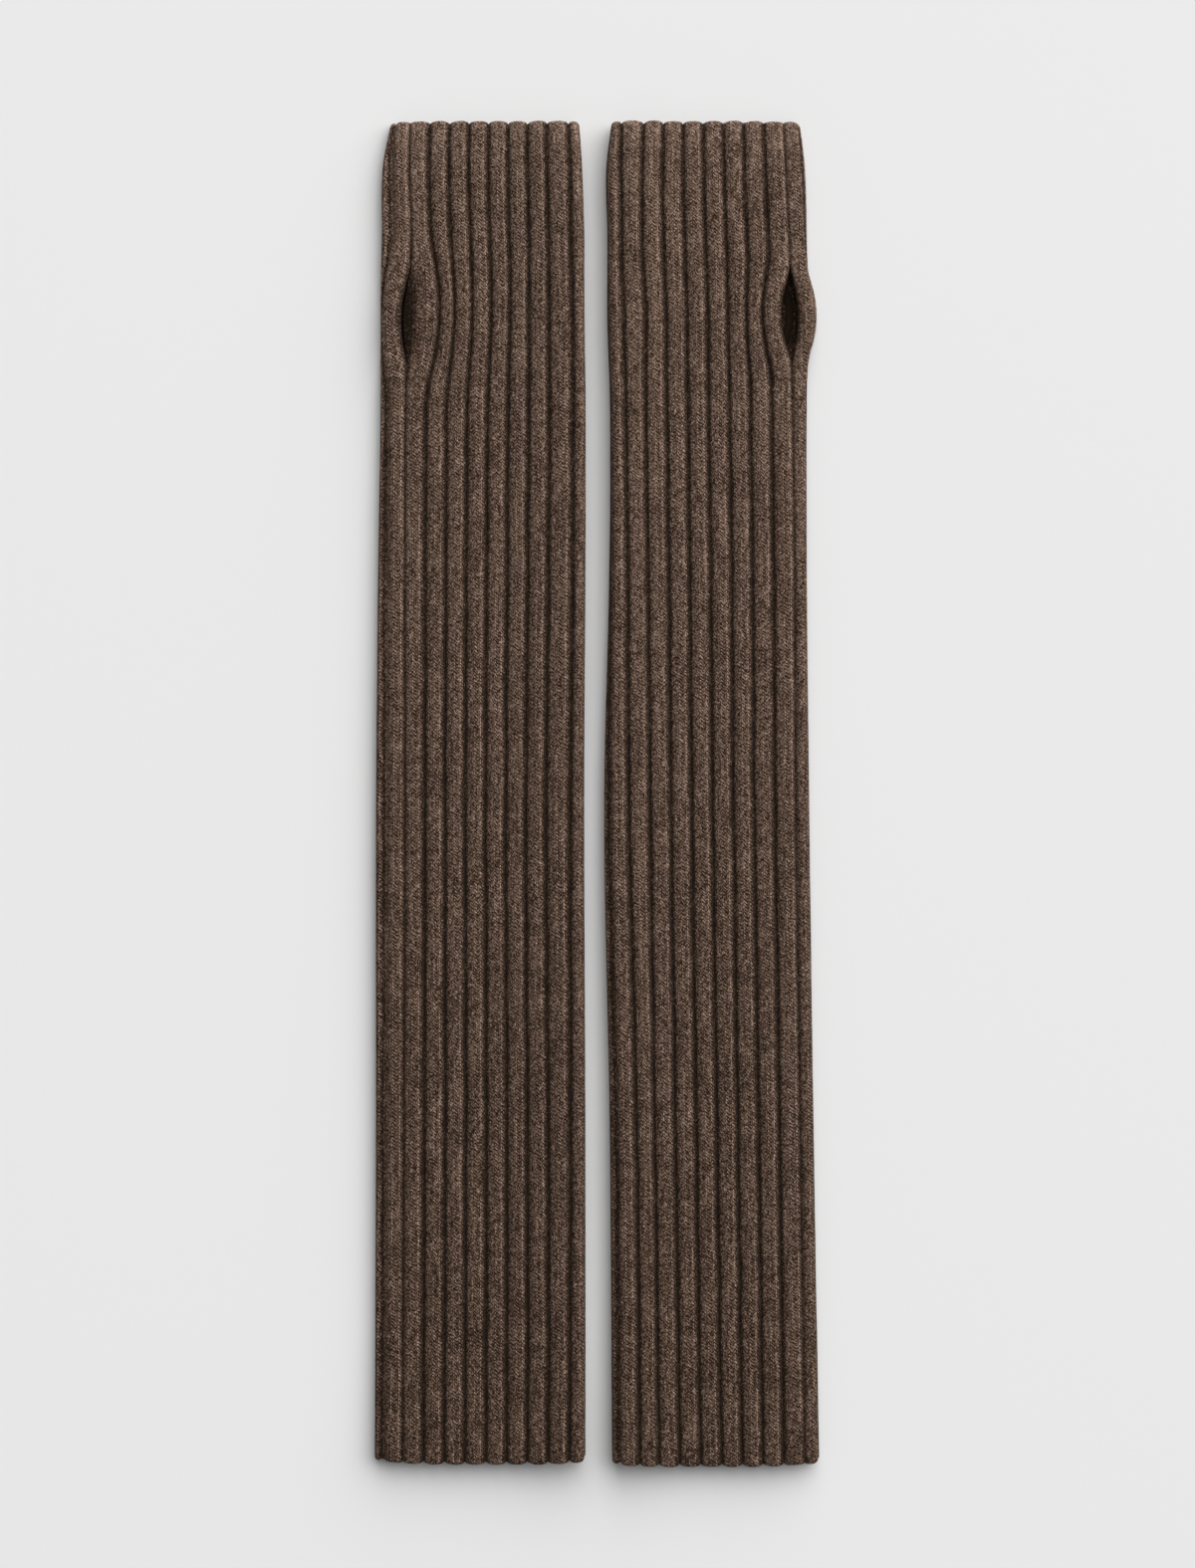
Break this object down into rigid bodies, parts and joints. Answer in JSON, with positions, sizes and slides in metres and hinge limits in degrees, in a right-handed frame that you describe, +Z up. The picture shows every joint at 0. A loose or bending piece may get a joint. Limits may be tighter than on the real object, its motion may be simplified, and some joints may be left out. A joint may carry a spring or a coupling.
{
  "type": "pair of arm warmers",
  "caption": "Pair of long fingerless arm warmers in thick ribbed brown wool, laid flat side by side, each an open tube with a thumb opening in its side seam.",
  "frame": {"origin": "centre of the pair's outline, on the surface that they lie on", "axes": "+X from the left warmer to the right one, +Y along the arms towards the hand ends, +Z up from the surface"},
  "size_m": [0.199, 0.601, 0.0094],
  "materials": {
    "rib_knit": "soft heathered wool, matt with a light fuzz"
  },
  "bodies": {
    "root": {"left_front": "rib_knit", "left_thumb_side": "rib_knit", "left_back": "rib_knit", "right_front": "rib_knit", "right_thumb_side": "rib_knit", "right_back": "rib_knit"}
  },
  "joints": []
}
